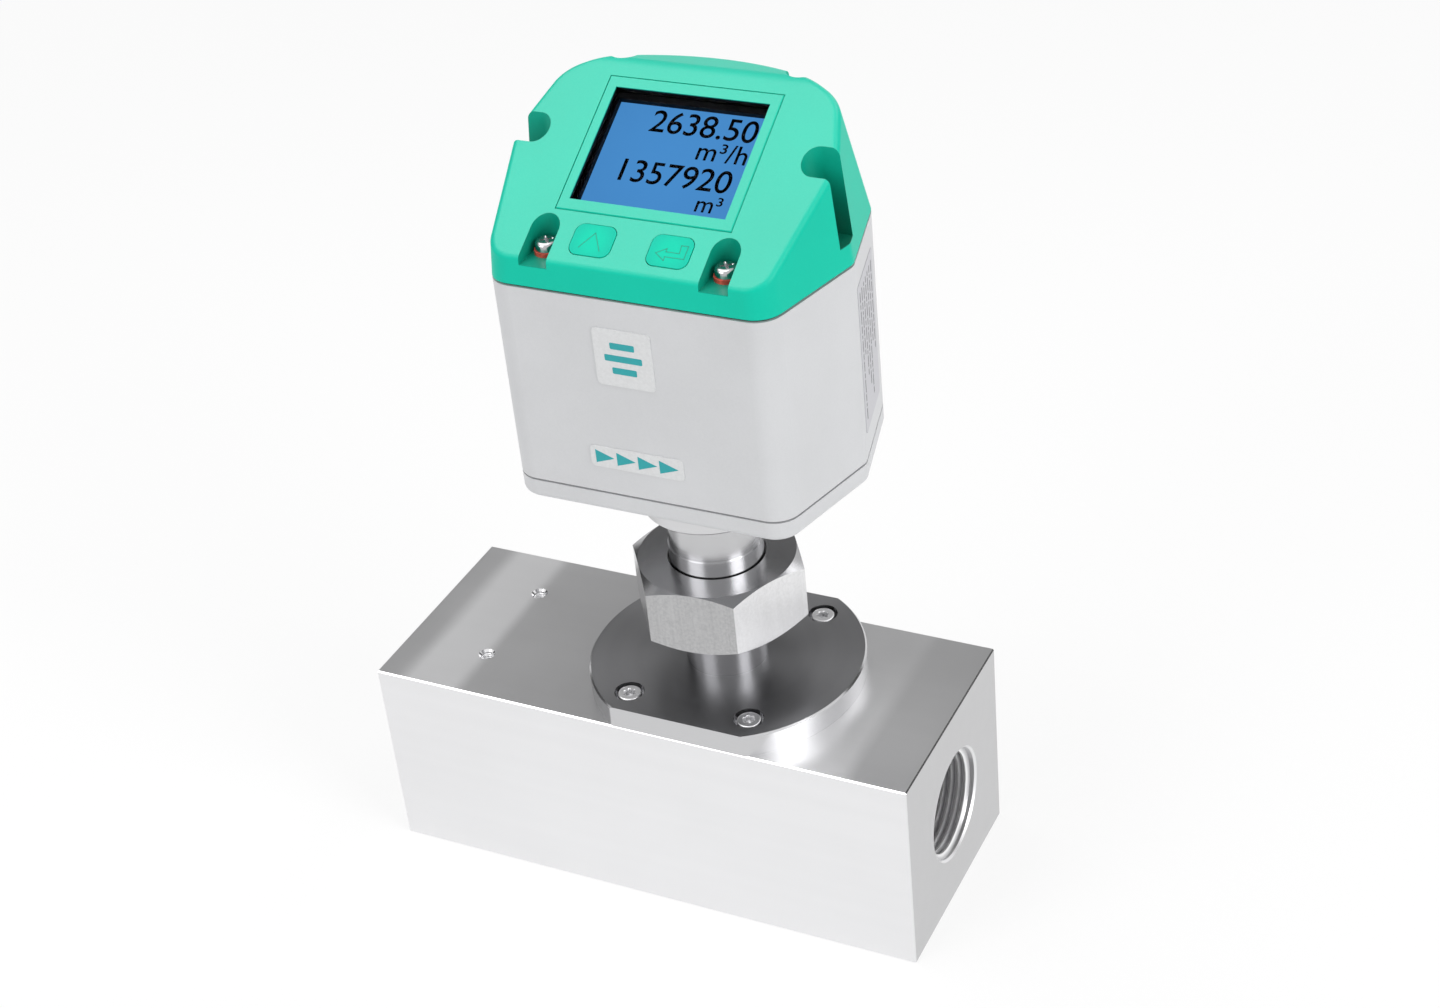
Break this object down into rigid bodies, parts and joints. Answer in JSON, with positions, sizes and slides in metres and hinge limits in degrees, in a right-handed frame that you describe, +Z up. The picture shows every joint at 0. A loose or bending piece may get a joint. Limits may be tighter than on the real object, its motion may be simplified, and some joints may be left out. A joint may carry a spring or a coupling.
{
  "type": "thermal mass flow meter",
  "caption": "Inline gas flow meter: milled block with pipe ports, plug-in sensor stem held by a union nut, hexagonal head with sloping display and keys.",
  "frame": {"origin": "middle of the measuring block's underside, below the bore", "axes": "+X along the flow to the outlet port, +Y to the back of the head, +Z up"},
  "size_m": [0.135, 0.0672, 0.1935],
  "materials": {
    "block_aluminium": "satin milled",
    "flange_steel": "turned and polished",
    "nut_steel": "brushed flats, turned ends",
    "stem_steel": "polished",
    "neck_steel": "satin turned",
    "screw_steel": "bright",
    "case_grey": "fine moulded",
    "cover_teal": "satin moulded",
    "key_teal": "satin moulded",
    "pane_clear": "clear",
    "shroud_black": "matt",
    "display_blue": "lit display",
    "board_green": "solder mask",
    "switch_black": "matt",
    "seal_black": "matt",
    "washer_red": "fibre",
    "insert_brass": "knurled",
    "socket_nickel": "nickel plated",
    "contact_gold": "gold flashed",
    "element_steel": "drawn tube",
    "lead_grey": "sheath",
    "ribbon_grey": "ribbon",
    "slip_white": "slippery plastic"
  },
  "bodies": {
    "measuring_section": {"measuring_block": "block_aluminium", "sensor_flange": "flange_steel", "flange_screws": "screw_steel", "flange_seal": "seal_black"},
    "nut_carrier": {"nut_slip_ring": "slip_white"},
    "union_nut": {"union_nut": "nut_steel"},
    "sensor_head": {"sensor_stem": "stem_steel", "probe_seals": "seal_black", "sensor_guard": "stem_steel", "reference_element": "element_steel", "heated_element": "element_steel", "sensor_lead": "lead_grey", "neck_collar": "neck_steel", "base_plate": "case_grey", "base_screws": "screw_steel", "stem_lock_nut": "nut_steel", "base_gasket": "seal_black", "housing": "case_grey", "thread_inserts": "insert_brass", "cover_gasket": "seal_black", "cover": "cover_teal", "cover_screws": "screw_steel", "seal_washers": "washer_red", "window_frame": "cover_teal", "window_pane": "pane_clear", "lcd_shroud": "shroud_black", "lcd_panel": "display_blue", "display_board": "board_green", "display_screws": "screw_steel", "key_switches": "switch_black", "main_board": "board_green", "board_spacers": "socket_nickel", "board_screws": "screw_steel", "ribbon_cable": "ribbon_grey", "socket_left": "socket_nickel", "socket_right": "socket_nickel", "socket_contacts": "contact_gold", "socket_washers": "seal_black", "socket_nuts": "socket_nickel"},
    "key_up": {"key_up": "key_teal"},
    "key_enter": {"key_enter": "key_teal"}
  },
  "joints": [
    {"name": "nut_travel", "type": "slide", "parent": "measuring_section", "child": "nut_carrier", "axis": [0, 0, 1], "range_m": [0, 0.00545]},
    {"name": "nut_turn", "type": "hinge", "parent": "nut_carrier", "child": "union_nut", "pos_m": [0.0125, 0, 0.076], "axis": [0, 0, 1], "range_deg": [0, 1080]},
    {"name": "head_swivel", "type": "hinge", "parent": "measuring_section", "child": "sensor_head", "pos_m": [0.0125, 0, 0.079], "axis": [0, 0, 1], "continuous": true},
    {"name": "key_up_press", "type": "slide", "parent": "sensor_head", "child": "key_up", "axis": [0, 0.5, -0.866], "range_m": [0, 0.0005], "stiffness_N_per_m": 1200},
    {"name": "key_enter_press", "type": "slide", "parent": "sensor_head", "child": "key_enter", "axis": [0, 0.5, -0.866], "range_m": [0, 0.0005], "stiffness_N_per_m": 1200}
  ],
  "couplings": [
    {"joint": "nut_travel", "follows": "nut_turn", "m_per_rad": 0.00028876}
  ]
}
